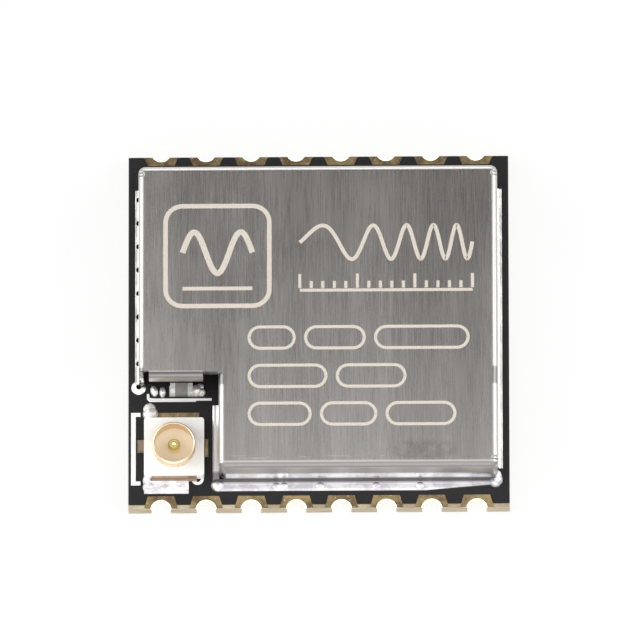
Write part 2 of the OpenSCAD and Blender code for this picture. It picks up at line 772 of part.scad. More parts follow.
module match_solder() {
    half = chip_part_w / 2 - 0.02;
    end_x = chip_part_l / 2;
    color("gainsboro") at_pattern() translate([match_x, match_y, board_t]) {
        for (s = [-1, 1]) scale([s, 1, 1])
            translate([end_x - terminal_l, -half, 0]) cube([terminal_l, 2 * half, joint_t]);
        translate([-end_x, -half, 0]) rotate([0, 0, -90]) mirror([1, 0, 0])
            fillet_low(2 * half, 0.05);
        difference() {
            union() {
                translate([end_x + 0.14, 0.02, 0]) dome(0.27, 0.3);
                translate([end_x + 0.36, -0.04, 0]) dome(0.2, 0.18);
                translate([end_x + 0.32, 0.2, 0]) dome(0.17, 0.14);
            }
            translate([0, -1, -cut]) cube([end_x, 2, 1]);
        }
        translate([-match_reach - 0.23, -0.03, 0]) scale([0.58, 1, 1]) dome(0.25, 0.17);
        translate([-match_reach - 0.6, 0.02, 0]) rotate([0, 0, 14]) scale([0.64, 1, 1])
            dome(0.26, 0.19);
    }
}

// Transceiver: a moulded body with flush leads and a thermal pad underneath.
module leads_solid() {
    at_ic_leads() translate([-0.13, -0.42, 0]) cube([0.26, 0.42, 0.2]);
    translate([ic_x - ic_thermal / 2, ic_y - ic_thermal / 2, 0])
        cube([ic_thermal, ic_thermal, 0.2]);
}

module transceiver_solder() {
    color("gainsboro") at_pattern() translate([0, 0, board_t]) linear_extrude(joint_t) {
        at_ic_leads() span(-0.13, -0.42, 0.13, 0.2);
        translate([ic_x, ic_y]) square(ic_thermal - 0.2, center = true);
    }
}

module transceiver_leads() {
    color("gainsboro") at_pattern() translate([0, 0, part_z]) leads_solid();
}

module transceiver_body() {
    color([0.1, 0.1, 0.1]) at_pattern() translate([0, 0, part_z]) difference() {
        translate([ic_x - ic_side / 2, ic_y - ic_side / 2, 0]) cube([ic_side, ic_side, ic_h]);
        leads_solid();
        translate([ic_x - ic_side / 2 + 0.6, ic_y + ic_side / 2 - 0.6, ic_h - 0.05])
            cylinder(r = 0.25, h = 0.2);
    }
}

module crystal_solder() {
    color("gainsboro") at_pattern() translate([0, 0, board_t]) linear_extrude(joint_t)
        at_crystal_lands() square([0.9, 0.74], center = true);
}

module crystal_base() {
    color("dimgray") at_pattern() translate([xtal_x, xtal_y, part_z])
        linear_extrude(xtal_base_h) round_square(xtal_l, xtal_w, 0.15);
}

module crystal_lid() {
    color("silver") at_pattern() translate([xtal_x, xtal_y, part_z + xtal_base_h])
        linear_extrude(xtal_lid_h) round_square(xtal_l - 0.4, xtal_w - 0.4, 0.2);
}

// Antenna switch: a moulded body on gull-wing leads.
module lead_2d() {
    waist = switch_h * 0.45;
    polygon([
        [0, waist], [0.16, waist], [0.24, 0.12], [0.24, 0], [0.5, 0], [0.5, 0.12],
        [0.34, 0.12], [0.27, waist + 0.12], [0, waist + 0.12]
    ]);
}

module switch_solder() {
    color("gainsboro") at_pattern() translate([0, 0, board_t]) linear_extrude(joint_t)
        at_switch_leads() span(-0.15, 0.22, 0.15, 0.58);
}

module switch_leads() {
    color("gainsboro") at_pattern() translate([0, 0, part_z]) at_switch_leads()
        translate([-0.12, 0, 0]) rotate([90, 0, 90]) linear_extrude(0.24) lead_2d();
}

module switch_body() {
    color([0.1, 0.1, 0.1]) at_pattern() translate([switch_x, switch_y, part_z + 0.06])
        translate([-switch_l / 2, -switch_w / 2, 0])
            cube([switch_l, switch_w, switch_h - 0.06]);
}

module passive_solder() {
    color("gainsboro") at_pattern() translate([0, 0, board_t]) at_passives() part_joints();
}

module capacitor_bodies() {
    color("peru") at_pattern() translate([0, 0, part_z]) at_capacitors() part_body(chip_part_h);
}

module inductor_bodies() {
    color("lightsteelblue") at_pattern() translate([0, 0, part_z]) at_inductors()
        part_body(chip_part_h);
}

module resistor_bodies() {
    color([0.12, 0.12, 0.14]) at_pattern() translate([0, 0, part_z]) at_resistors()
        part_body(resistor_h);
}

module passive_terminals() {
    color("gainsboro") at_pattern() translate([0, 0, part_z]) {
        at_capacitors() part_terminals(chip_part_h);
        at_inductors() part_terminals(chip_part_h);
        at_resistors() part_terminals(resistor_h);
    }
}

circuit_board();
solder_mask_top();
solder_mask_bottom();
castellations_back();
castellations_front();
shield_land();
legend_ink();
shield_can();
shield_solder();
receptacle_lands();
receptacle_housing();
receptacle_shell();
receptacle_contact();
receptacle_solder();
match_lands();
match_capacitor_body();
match_capacitor_terminals();
match_solder();
transceiver_lands();
transceiver_solder();
transceiver_leads();
transceiver_body();
crystal_lands();
crystal_solder();
crystal_base();
crystal_lid();
switch_lands();
switch_solder();
switch_leads();
switch_body();
passive_lands();
passive_solder();
capacitor_bodies();
inductor_bodies();
resistor_bodies();
passive_terminals();
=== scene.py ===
"""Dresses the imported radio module: finishes, etched marks, studio and camera.

Every length in a dataclass is in millimetres and is turned into metres where a mesh,
lamp or camera is made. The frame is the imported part's own: +Z up from the undersides
of the pads, +X along the longer side, the receptacle at -X, -Y.
"""

from __future__ import annotations

import logging
import math
from dataclasses import dataclass, field
from enum import Enum
from typing import Any, Callable, Iterable, Sequence

import bmesh
import bpy
from mathutils import Matrix, Quaternion, Vector


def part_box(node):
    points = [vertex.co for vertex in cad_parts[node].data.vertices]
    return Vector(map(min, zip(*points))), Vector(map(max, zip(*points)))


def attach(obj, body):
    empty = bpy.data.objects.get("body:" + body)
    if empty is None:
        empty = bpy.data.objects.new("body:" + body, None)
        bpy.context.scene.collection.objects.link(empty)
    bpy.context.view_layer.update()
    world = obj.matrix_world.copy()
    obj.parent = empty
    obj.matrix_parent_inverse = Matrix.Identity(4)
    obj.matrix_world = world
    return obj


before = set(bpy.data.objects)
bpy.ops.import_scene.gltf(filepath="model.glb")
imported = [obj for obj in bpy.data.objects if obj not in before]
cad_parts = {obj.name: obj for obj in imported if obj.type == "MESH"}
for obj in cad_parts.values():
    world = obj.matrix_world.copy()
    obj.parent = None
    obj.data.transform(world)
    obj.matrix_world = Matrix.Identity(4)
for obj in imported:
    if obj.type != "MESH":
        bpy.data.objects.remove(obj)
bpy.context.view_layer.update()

LOG = logging.getLogger("radio_module")
MM = 0.001
Colour = tuple[float, float, float]


# ---------------------------------------------------------------- node building


class Wire:
    """A node socket that Python operators turn into Math nodes."""

    def __init__(self, paint: "Paint", socket: bpy.types.NodeSocket) -> None:
        """Wraps a socket.

        Args:
            paint: The material whose node tree holds the socket.
            socket: An output socket.
        """
        self.paint = paint
        self.socket = socket

    def _math(self, operation: str, *values: "Wire | float") -> "Wire":
        """Adds one Math node over the given values."""
        inputs = dict(enumerate(values))
        return self.paint.node("ShaderNodeMath", {"operation": operation}, inputs)

    def __add__(self, other: "Wire | float") -> "Wire":
        """Returns the sum."""
        return self._math("ADD", self, other)

    __radd__ = __add__

    def __sub__(self, other: "Wire | float") -> "Wire":
        """Returns the difference."""
        return self._math("SUBTRACT", self, other)

    def __rsub__(self, other: float) -> "Wire":
        """Returns a number less this value."""
        return self._math("SUBTRACT", other, self)

    def __mul__(self, other: "Wire | float") -> "Wire":
        """Returns the product."""
        return self._math("MULTIPLY", self, other)

    __rmul__ = __mul__

    def __truediv__(self, other: "Wire | float") -> "Wire":
        """Returns the quotient."""
        return self._math("DIVIDE", self, other)

    def __abs__(self) -> "Wire":
        """Returns the value without its sign."""
        return self._math("ABSOLUTE", self)

    def above(self, low: float, high: float) -> "Wire":
        """Returns a smooth mask that is 0 under low and 1 over high."""
        return self.paint.node(
            "ShaderNodeMapRange",
            {"interpolation_type": "SMOOTHSTEP"},
            {"Value": self, "From Min": low, "From Max": high},
        )

    def between(self, low: float, high: float) -> "Wire":
        """Returns this 0 to 1 value spread over low to high."""
        return self * (high - low) + low


class Paint:
    """One procedural material: a Principled shader and what feeds it."""

    def __init__(self, name: str) -> None:
        """Starts an empty material.

        Args:
            name: The material's name.
        """
        self.material = bpy.data.materials.new(name)
        self.material.use_nodes = True
        self.tree = self.material.node_tree
        self.tree.nodes.clear()
        self.output = self.tree.nodes.new("ShaderNodeOutputMaterial")
        self.shader = self.tree.nodes.new("ShaderNodeBsdfPrincipled")
        self.tree.links.new(self.shader.outputs[0], self.output.inputs["Surface"])

    def node(
        self,
        kind: str,
        settings: dict[str, Any] | None = None,
        inputs: dict[Any, Any] | None = None,
        output: int | str = 0,
    ) -> Wire:
        """Adds any node.

        Args:
            kind: The node's type name.
            settings: Properties set before its sockets, such as an operation.
            inputs: Values or wires by socket name or number.
            output: Which output to return.

        Returns:
            The chosen output, wrapped.
        """
        made = self.tree.nodes.new(kind)
        for name, value in (settings or {}).items():
            if name == "stops":
                self._stops(made, value)
            else:
                setattr(made, name, value)
        for name, value in (inputs or {}).items():
            self.feed(made, name, value)
        return Wire(self, made.outputs[output])

    def _stops(self, ramp: bpy.types.Node, stops: Sequence[tuple[float, Colour]]) -> None:
        """Sets the stops of a colour ramp."""
        elements = ramp.color_ramp.elements
        while len(elements) < len(stops):
            elements.new(0.5)
        for element, (place, colour) in zip(elements, stops):
            element.position = place
            element.color = (*colour, 1)

    def feed(self, node: bpy.types.Node, name: int | str, value: Any) -> None:
        """Links a wire to a node's input, or sets the input's value."""
        socket = node.inputs[name]
        if isinstance(value, Wire):
            self.tree.links.new(value.socket, socket)
        elif isinstance(value, tuple) and socket.type == "RGBA":
            socket.default_value = (*value, 1) if len(value) == 3 else value
        else:
            socket.default_value = value

    def place(self) -> Wire:
        """Returns the surface point in millimetres."""
        spot = self.node("ShaderNodeTexCoord", output="Object")
        return self.node(
            "ShaderNodeVectorMath", {"operation": "SCALE"}, {0: spot, "Scale": 1000.0}
        )

    def part(self, vector: Wire, axis: int) -> Wire:
        """Returns one part of a vector, by axis number."""
        return self.node("ShaderNodeSeparateXYZ", inputs={0: vector}, output=axis)

    def facing(self, axis: int) -> Wire:
        """Returns how far the surface faces along an axis, -1 to 1."""
        return self.part(self.node("ShaderNodeNewGeometry", output="Normal"), axis)

    def from_axis(self, spot: Wire) -> Wire:
        """Returns the distance of a point from the receptacle's axis."""
        low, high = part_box("receptacle_shell")
        axis = tuple((low[i] + high[i]) / 2 / MM for i in range(2))
        flat = self.stretched(spot, (1.0, 1.0, 0.0))
        return self.node(
            "ShaderNodeVectorMath", {"operation": "DISTANCE"}, {0: flat, 1: (*axis, 0.0)}, "Value"
        )

    def stretched(self, spot: Wire, along: tuple[float, float, float]) -> Wire:
        """Returns a point multiplied axis by axis, so a noise on it is stretched."""
        return self.node(
            "ShaderNodeVectorMath", {"operation": "MULTIPLY"}, {0: spot, 1: along}
        )

    def noise(
        self, spot: Wire, scale: float, detail: float = 2.0, rough: float = 0.5
    ) -> Wire:
        """Returns 0 to 1 noise at a point given in millimetres."""
        return self.node(
            "ShaderNodeTexNoise",
            {"noise_dimensions": "3D"},
            {"Vector": spot, "Scale": scale, "Detail": detail, "Roughness": rough},
        )

    def mix(self, factor: Wire | float, first: Any, second: Any) -> Wire:
        """Returns a blend of two colours.

        Args:
            factor: 0 for the first colour, 1 for the second.
            first: A colour or a wire.
            second: A colour or a wire.

        Returns:
            The blended colour.
        """
        return self.node(
            "ShaderNodeMix",
            {"data_type": "RGBA"},
            {0: factor, 6: first, 7: second},
            output=2,
        )

    def relief(self, height: Wire, strength: float, depth: float) -> Wire:
        """Returns a bumped normal.

        Args:
            height: 0 to 1 height.
            strength: Bump strength.
            depth: Millimetres that a height of 1 stands for.
        """
        return self.node(
            "ShaderNodeBump",
            {},
            {"Strength": strength, "Distance": depth * MM, "Height": height},
        )

    def finish(self, **sockets: Any) -> bpy.types.Material:
        """Feeds the Principled shader and returns the material.

        Args:
            sockets: Its inputs by name, with an underscore for each space.
        """
        for name, value in sockets.items():
            self.feed(self.shader, name.replace("_", " "), value)
        return self.material


# ---------------------------------------------------------------- finishes


@dataclass(frozen=True)
class BrushedSheet:
    """Nickel silver sheet: brush lines along Y, scuffs, a rubbed patch and painted light and shade."""

    colour: Colour = (0.60, 0.57, 0.55)
    dark: Colour = (0.44, 0.415, 0.40)
    wall: Colour = (0.56, 0.545, 0.53)
    painted_glint: Colour = (0.97, 0.96, 0.95)
    painted_shadow: Colour = (0.13, 0.125, 0.12)
    painted_highlight: Colour = (0.80, 0.77, 0.74)
    painted_side_shade: Colour = (0.30, 0.28, 0.27)
    fold: Colour = (0.29, 0.28, 0.27)
    flap: Colour = (0.25, 0.25, 0.245)
    painted_flap_highlight: Colour = (0.88, 0.92, 0.90)
    bend: tuple[float, float] = (-2.51, -4.5)
    roughness: float = 0.2
    scuff_y: float = -6.45
    smudge: tuple[float, float] = (4.6, -6.1)

    def build(self) -> bpy.types.Material:
        """Returns the material."""
        p = Paint("brushed_nickel_silver")
        spot = p.place()
        fine = p.noise(p.stretched(spot, (9.0, 0.22, 0.3)), 2.2, 3.0, 0.7)
        broad = p.noise(p.stretched(spot, (1.1, 0.07, 0.2)), 1.0, 2.0, 0.5)
        cloud = p.noise(spot, 0.28, 3.0, 0.6)
        scuff = p.noise(p.stretched(spot, (0.5, 7.0, 1.0)), 1.0, 4.0, 0.65)
        near = 1 - abs(p.part(spot, 1) - self.scuff_y).above(0.05, 0.3)
        x = (p.part(spot, 0) - self.smudge[0]) / 1.8
        y = (p.part(spot, 1) - self.smudge[1]) / 0.5
        smudge = (1 - (x * x + y * y).above(0.3, 1.2)) * p.noise(spot, 2.6, 3.0, 0.6).above(0.4, 0.6)
        tone = fine.above(0.30, 0.70) * 0.5 + broad.above(0.34, 0.66) * 0.5
        roof = p.mix(tone, self.dark, self.colour)
        roof = p.mix(scuff.above(0.58, 0.66) * near * 0.6, roof, (0.80, 0.78, 0.75))
        roof = p.mix(smudge * 0.55, roof, (0.30, 0.28, 0.27))
        x = p.part(spot, 0)
        # painted highlight: the roof left of x -4.6 is mixed towards a lighter tone
        roof = p.mix((1 - x.above(-7.9, -4.6)) * 0.42, roof, self.painted_highlight)
        # painted shade: the roof from x 1 to 7.8 is mixed towards a darker tone
        roof = p.mix(x.above(1.0, 7.8) * 0.22, roof, self.painted_side_shade)
        flat = p.facing(2).above(0.975, 0.998)
        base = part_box("solder_mask_top")[1][2] / MM
        z = p.part(spot, 2)
        # painted reflection: a near-white band low on the front wall, 0.45 to 1.4 mm over the board, stands in for
        # the solder that the wall mirrors
        painted_glint = z.above(base + 0.45, base + 0.6) * (1 - z.above(base + 1.1, base + 1.4))
        y = p.part(spot, 1)
        # painted shade on the flap under the notch's roof edge, with a painted highlight along its top
        step = y.above(-3.1, -3.0) * (1 - y.above(-2.3, -2.2))
        flap = p.mix(z.above(base + 2.15, base + 2.25), self.painted_flap_highlight, self.flap)
        # painted shade: the front fold between roof and wall takes a darker colour than the wall
        fold = p.facing(2).above(0.1, 0.35) * (1 - p.facing(1).above(-0.4, -0.2))
        wall = p.mix(fold, self.wall, self.fold)
        wall = p.mix(step, wall, flap)
        # the painted reflection band goes only on faces that look to the front
        wall = p.mix(painted_glint * (1 - p.facing(1).above(-0.9, -0.6)), wall, self.painted_glint)
        # painted contact shadow: the wall's foot, up to about 0.4 mm over the board, is darkened
        wall = p.mix((1 - z.above(base + 0.3, base + 0.5)) * 0.85, wall, self.painted_shadow)
        # painted shadow line: a thin dark line on the roof along its edge over the notch, at y -2.51 left of x -4.5
        line = (1 - abs(y - self.bend[0]).above(0.03, 0.07)) * (1 - x.above(self.bend[1], self.bend[1] + 0.1))
        line = line * z.above(base + 2.2, base + 2.3)
        return p.finish(
            Base_Color=p.mix(line * 0.8, p.mix(flat, wall, roof), self.painted_shadow),
            Metallic=1.0,
            Roughness=(fine.between(-0.02, 0.18) + cloud.between(-0.05, 0.05)) * flat
            + (1 - flat) * (1 - painted_glint) * 0.2
            + self.roughness,
            Normal=p.relief(fine * flat, 0.35, 0.012),
        )


@dataclass(frozen=True)
class Solder:
    """Bright reflowed solder, lumpy and frosted in places, with painted shade by the can's front wall and a painted
    highlight away from it.
    """

    name: str = "reflowed_solder"
    colour: Colour = (0.84, 0.83, 0.86)
    frosted: Colour = (0.56, 0.55, 0.59)
    painted_wall_shade: Colour = (0.36, 0.35, 0.37)
    roughness: float = 0.34
    lump: float = 0.035
    grain: float = 22.0
    metal: float = 1.0
    painted_foot_shade: float = 0.9

    def build(self) -> bpy.types.Material:
        """Returns the material."""
        p = Paint(self.name)
        spot = p.place()
        lumps = p.noise(spot, 3.2, 2.0, 0.5)
        grain = p.noise(spot, self.grain, 3.0, 0.6)
        frost = p.noise(spot, 1.7, 3.0, 0.6).above(0.42, 0.62)
        height = lumps * 0.8 + grain * 0.2
        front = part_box("shield_can")[0][1] / MM
        y = p.part(spot, 1)
        # painted contact shadow: a thin dark strip where the solder meets the can's front wall
        painted_foot_shade = y.above(front - 0.11, front - 0.06) * (1 - y.above(front, front + 0.02))
        colour = p.mix(frost * 0.7, self.colour, self.frosted)
        # painted shade: solder close in front of and behind the can's front face is darkened
        colour = p.mix(y.above(front - 0.2, front - 0.1) * self.painted_foot_shade, colour, self.painted_wall_shade)
        # painted highlight: solder more than about 0.4 mm behind the can's front face is made near-white
        colour = p.mix(y.above(front + 0.3, front + 0.5), colour, (1.0, 0.98, 0.95))
        return p.finish(
            Base_Color=p.mix(painted_foot_shade * self.painted_foot_shade, colour, (0.15, 0.145, 0.14)),
            Metallic=self.metal,
            Roughness=frost.between(0.0, 0.22) + grain.between(-0.05, 0.1) + self.roughness,
            Normal=p.relief(height, 0.7, self.lump),
        )


@dataclass(frozen=True)
class GoldPlating:
    """Satin immersion gold, darker where it lies flat, with painted glints and a painted highlight up the
    half-holes.
    """

    name: str = "immersion_gold"
    colour: Colour = (0.44, 0.335, 0.17)
    shade: Colour = (0.21, 0.145, 0.085)
    painted_highlight: Colour = (1.0, 0.97, 0.86)
    roughness: float = 0.4
    grain: float = 9.0
    overprinted_to: float = -99.0

    def build(self) -> bpy.types.Material:
        """Returns the material."""
        p = Paint(self.name)
        spot = p.place()
        patch = p.noise(spot, 1.6, 3.0, 0.6)
        fine = p.noise(spot, self.grain, 4.0, 0.6)
        colour = p.mix(patch.above(0.35, 0.65), self.shade, self.colour)
        # painted glints: fine flecks of pale gold that stand in for sparkle highlights
        colour = p.mix(fine.above(0.58, 0.72) * 0.7, colour, (0.92, 0.78, 0.48))
        covered = 1 - p.part(spot, 1).above(self.overprinted_to, self.overprinted_to + 0.03)
        colour = p.mix(covered, colour, (0.03, 0.027, 0.027))
        # painted highlight: every face that is not flat, such as the half-holes' walls, takes a pale cream colour
        return p.finish(
            Base_Color=p.mix(1 - abs(p.facing(2)).above(0.90, 0.97), colour, self.painted_highlight),
            Metallic=1.0,
            Roughness=fine.between(-0.08, 0.14) + self.roughness,
            Normal=p.relief(fine, 0.4, 0.01),
        )


@dataclass(frozen=True)
class OverprintedLand:
    """A land whose top is overprinted black outside its solder, with gold holes."""

    top: Colour = (0.014, 0.013, 0.014)
    hole: Colour = (0.62, 0.48, 0.26)

    def build(self) -> bpy.types.Material:
        """Returns the material."""
        p = Paint("overprinted_land")
        fine = p.noise(p.place(), 9.0, 4.0, 0.6)
        up = p.facing(2).above(0.5, 0.9)
        return p.finish(
            Base_Color=p.mix(up, self.hole, p.mix(fine * 0.6, self.top, (0.03, 0.027, 0.027))),
            Metallic=1 - up,
            Roughness=fine.between(0.38, 0.52),
            Specular_IOR_Level=0.3,
            Normal=p.relief(fine, 0.3, 0.008),
        )


@dataclass(frozen=True)
class PolishedContact:
    """Polished gold with turning rings round the receptacle's axis."""

    name: str = "shell_gold"
    colour: Colour = (0.84, 0.70, 0.50)
    shade: Colour = (0.70, 0.55, 0.37)
    roughness: float = 0.34
    tabs: Colour = (0.50, 0.39, 0.30)

    def build(self) -> bpy.types.Material:
        """Returns the material."""
        p = Paint(self.name)
        spot = p.place()
        rings = p.node("ShaderNodeMath", {"operation": "SINE"}, {0: p.from_axis(spot) * 70.0})
        fine = p.noise(spot, 14.0, 3.0, 0.6)
        colour = p.mix(fine.above(0.35, 0.7) * 0.5, self.colour, self.shade)
        return p.finish(
            Base_Color=p.mix(p.from_axis(spot).above(1.1, 1.3), colour, self.tabs),
            Metallic=1.0,
            Roughness=fine.between(-0.03, 0.08) + self.roughness,
            Normal=p.relief(rings * 0.25 + fine * 0.5, 0.25, 0.006),
        )


@dataclass(frozen=True)
class WhitePolymer:
    """Moulded white polymer, with a painted reflection of the gold round it inside the shell."""

    colour: Colour = (1.0, 0.985, 0.955)
    shade: Colour = (0.97, 0.95, 0.91)
    painted_gold_bounce: Colour = (1.0, 0.86, 0.67)
    inner: float = 0.86

    def build(self) -> bpy.types.Material:
        """Returns the material."""
        p = Paint("white_polymer")
        spot = p.place()
        fine = p.noise(spot, 6.0, 4.0, 0.65)
        # painted reflection: the floor inside the shell is tinted by the gold round it
        inside = 1 - p.from_axis(spot).above(self.inner, self.inner + 0.08)
        body = p.mix(fine.above(0.4, 0.7) * 0.6, self.colour, self.shade)
        return p.finish(
            Base_Color=p.mix(inside * 0.9, body, self.painted_gold_bounce),
            Roughness=fine.between(0.34, 0.5),
            Normal=p.relief(fine, 0.4, 0.008),
        )


@dataclass(frozen=True)
class Laminate:
    """Routed glass-epoxy: plies show as faint layers in the cut edges."""

    colour: Colour = (0.36, 0.28, 0.18)
    glass: Colour = (0.52, 0.45, 0.32)
    mask: Colour = (0.016, 0.014, 0.014)
    bare_to: float = -7.93

    def build(self) -> bpy.types.Material:
        """Returns the material."""
        p = Paint("glass_epoxy_laminate")
        spot = p.place()
        plies = p.noise(p.stretched(spot, (0.5, 0.5, 10.0)), 1.0, 2.0, 0.5)
        fibre = p.noise(spot, 18.0, 4.0, 0.7)
        routed = p.noise(p.stretched(spot, (14.0, 14.0, 0.6)), 1.0, 2.0, 0.5)
        colour = p.mix(plies.above(0.4, 0.62), self.colour, self.glass)
        colour = p.mix(fibre.above(0.5, 0.75) * 0.4, colour, (0.90, 0.84, 0.68))
        overlap = p.facing(2).above(0.90, 0.95) * p.part(spot, 1).above(self.bare_to, self.bare_to + 0.04)
        return p.finish(
            Base_Color=p.mix(overlap, colour, self.mask),
            Roughness=fibre.between(0.45, 0.75),
            Normal=p.relief(fibre * 0.5 + routed * 0.5, 0.5, 0.012),
        )


@dataclass(frozen=True)
class SolderMask:
    """Black solder mask: soft gloss over a faint weave and buried tracks."""

    colour: Colour = (0.012, 0.011, 0.012)
    pale: Colour = (0.026, 0.023, 0.023)

    def build(self) -> bpy.types.Material:
        """Returns the material."""
        p = Paint("black_solder_mask")
        spot = p.place()
        peel = p.noise(spot, 5.0, 2.0, 0.5)
        dust = p.noise(spot, 26.0, 4.0, 0.7)
        weave_x = p.node(
            "ShaderNodeTexWave",
            {"bands_direction": "X"},
            {"Vector": spot, "Scale": 0.55, "Distortion": 0.6, "Detail": 1.0},
            output=1,
        )
        weave_y = p.node(
            "ShaderNodeTexWave",
            {"bands_direction": "Y"},
            {"Vector": spot, "Scale": 0.55, "Distortion": 0.6, "Detail": 1.0},
            output=1,
        )
        height = peel * 0.5 + (weave_x + weave_y) * 0.15 + dust * 0.1
        return p.finish(
            Base_Color=p.mix(dust.above(0.45, 0.8), self.colour, self.pale),
            Roughness=peel.between(0.42, 0.58),
            Specular_IOR_Level=0.3,
            Normal=p.relief(height, 0.5, 0.015),
        )


@dataclass(frozen=True)
class Speckled:
    """A dull non-metal with a fine grain, for ink, mouldings and ceramics."""

    name: str
    colour: Colour
    fleck: Colour
    roughness: float = 0.55
    grain: float = 16.0
    depth: float = 0.008

    def build(self) -> bpy.types.Material:
        """Returns the material."""
        p = Paint(self.name)
        spot = p.place()
        fine = p.noise(spot, self.grain, 4.0, 0.65)
        broad = p.noise(spot, self.grain / 9, 2.0, 0.5)
        return p.finish(
            Base_Color=p.mix(fine.above(0.4, 0.7) * 0.5 + broad * 0.4, self.colour, self.fleck),
            Roughness=fine.between(-0.12, 0.12) + self.roughness,
            Normal=p.relief(fine, 0.4, self.depth),
        )


@dataclass(frozen=True)
class FrostedEtch:
    """Sheet frosted by a marking laser: pale, matte and pitted."""

    colour: Colour = (0.66, 0.61, 0.53)
    burnt: Colour = (0.44, 0.40, 0.35)

    def build(self) -> bpy.types.Material:
        """Returns the material."""
        p = Paint("laser_frosted_sheet")
        spot = p.place()
        pits = p.noise(spot, 20.0, 3.0, 0.7)
        wash = p.noise(spot, 2.4, 2.0, 0.5)
        return p.finish(
            Base_Color=p.mix(pits.above(0.5, 0.75) * 0.6 + wash * 0.2, self.colour, self.burnt),
            Metallic=0.25,
            Roughness=pits.between(0.6, 0.85),
            Normal=p.relief(pits, 0.5, 0.012),
        )


@dataclass(frozen=True)
class StudioWhite:
    """The pale floor: white to the camera and to metal, and still shadowed."""

    colour: Colour = (0.88, 0.88, 0.88)
    share: float = 0.8

    def build(self) -> bpy.types.Material:
        """Returns the material."""
        p = Paint("studio_white")
        grain = p.noise(p.place(), 0.05, 2.0, 0.5)
        p.finish(
            Base_Color=p.mix(grain * 0.1, self.colour, (0.86, 0.86, 0.86)), Roughness=0.6
        )
        rays = p.tree.nodes.new("ShaderNodeLightPath")
        seen = (
            Wire(p, rays.outputs["Is Camera Ray"])
            + Wire(p, rays.outputs["Is Glossy Ray"])
            + Wire(p, rays.outputs["Is Transmission Ray"])
        )
        glow = p.node("ShaderNodeEmission", {}, {"Color": (1.0, 1.0, 1.0), "Strength": 1.0})
        blend = p.node(
            "ShaderNodeMixShader",
            {},
            {0: seen * self.share, 1: Wire(p, p.shader.outputs[0]), 2: glow},
        )
        p.tree.links.new(blend.socket, p.output.inputs["Surface"])
        return p.material


class Surface(Enum):
    """The finishes of the module."""

    SHEET = BrushedSheet()
    SOLDER = Solder()
    GRAINY = Solder(
        "grainy_solder", (1.0, 0.99, 1.0), (0.62, 0.61, 0.65),
        roughness=0.33, lump=0.13, grain=8.0, metal=0.6, painted_foot_shade=0.0,
    )
    TIN = Solder(
        "matte_tin", (0.74, 0.73, 0.73), (0.60, 0.59, 0.59), roughness=0.38, lump=0.012
    )
    PADS = GoldPlating()
    PADS_BY_HOUSING = GoldPlating("receptacle_land_gold", overprinted_to=-6.9)
    LAND = OverprintedLand()
    CONTACT = PolishedContact()
    PIN = PolishedContact("pin_gold", (0.98, 0.84, 0.40), (0.84, 0.66, 0.28), 0.2)
    LAMINATE = Laminate()
    MASK = SolderMask()
    INK = Speckled("legend_ink", (0.93, 0.93, 0.92), (0.84, 0.84, 0.83), 0.6, 12.0, 0.01)
    HOUSING = WhitePolymer()
    EPOXY = Speckled("black_epoxy", (0.030, 0.030, 0.032), (0.075, 0.075, 0.078), 0.6, 18.0, 0.012)
    BROWN = Speckled("brown_ceramic", (0.30, 0.22, 0.15), (0.42, 0.33, 0.24), 0.55)
    GREY = Speckled("grey_ceramic", (0.24, 0.22, 0.21), (0.40, 0.37, 0.35), 0.45)
    BLUE = Speckled("blue_ceramic", (0.36, 0.44, 0.52), (0.52, 0.58, 0.64), 0.45)
    BLACK = Speckled("black_film", (0.03, 0.03, 0.035), (0.08, 0.08, 0.09), 0.35)
    BASE = Speckled("dark_ceramic", (0.10, 0.09, 0.085), (0.18, 0.16, 0.15), 0.6)
    ETCH = FrostedEtch()
    FLOOR = StudioWhite()


class Finishes:
    """Builds each finish once and hands it out."""

    def __init__(self) -> None:
        """Starts with nothing built."""
        self._made: dict[Surface, bpy.types.Material] = {}

    def get(self, surface: Surface) -> bpy.types.Material:
        """Returns the material of a finish, building it at first use."""
        if surface not in self._made:
            self._made[surface] = surface.value.build()
        return self._made[surface]

    def dress(self, obj: bpy.types.Object, surface: Surface) -> None:
        """Puts a finish on every material slot of an object."""
        material = self.get(surface)
        if not obj.material_slots:
            obj.data.materials.append(material)
        for slot in obj.material_slots:
            slot.link = "OBJECT"
            slot.material = material


# ---------------------------------------------------------------- drawing flat marks

Point = tuple[float, float]


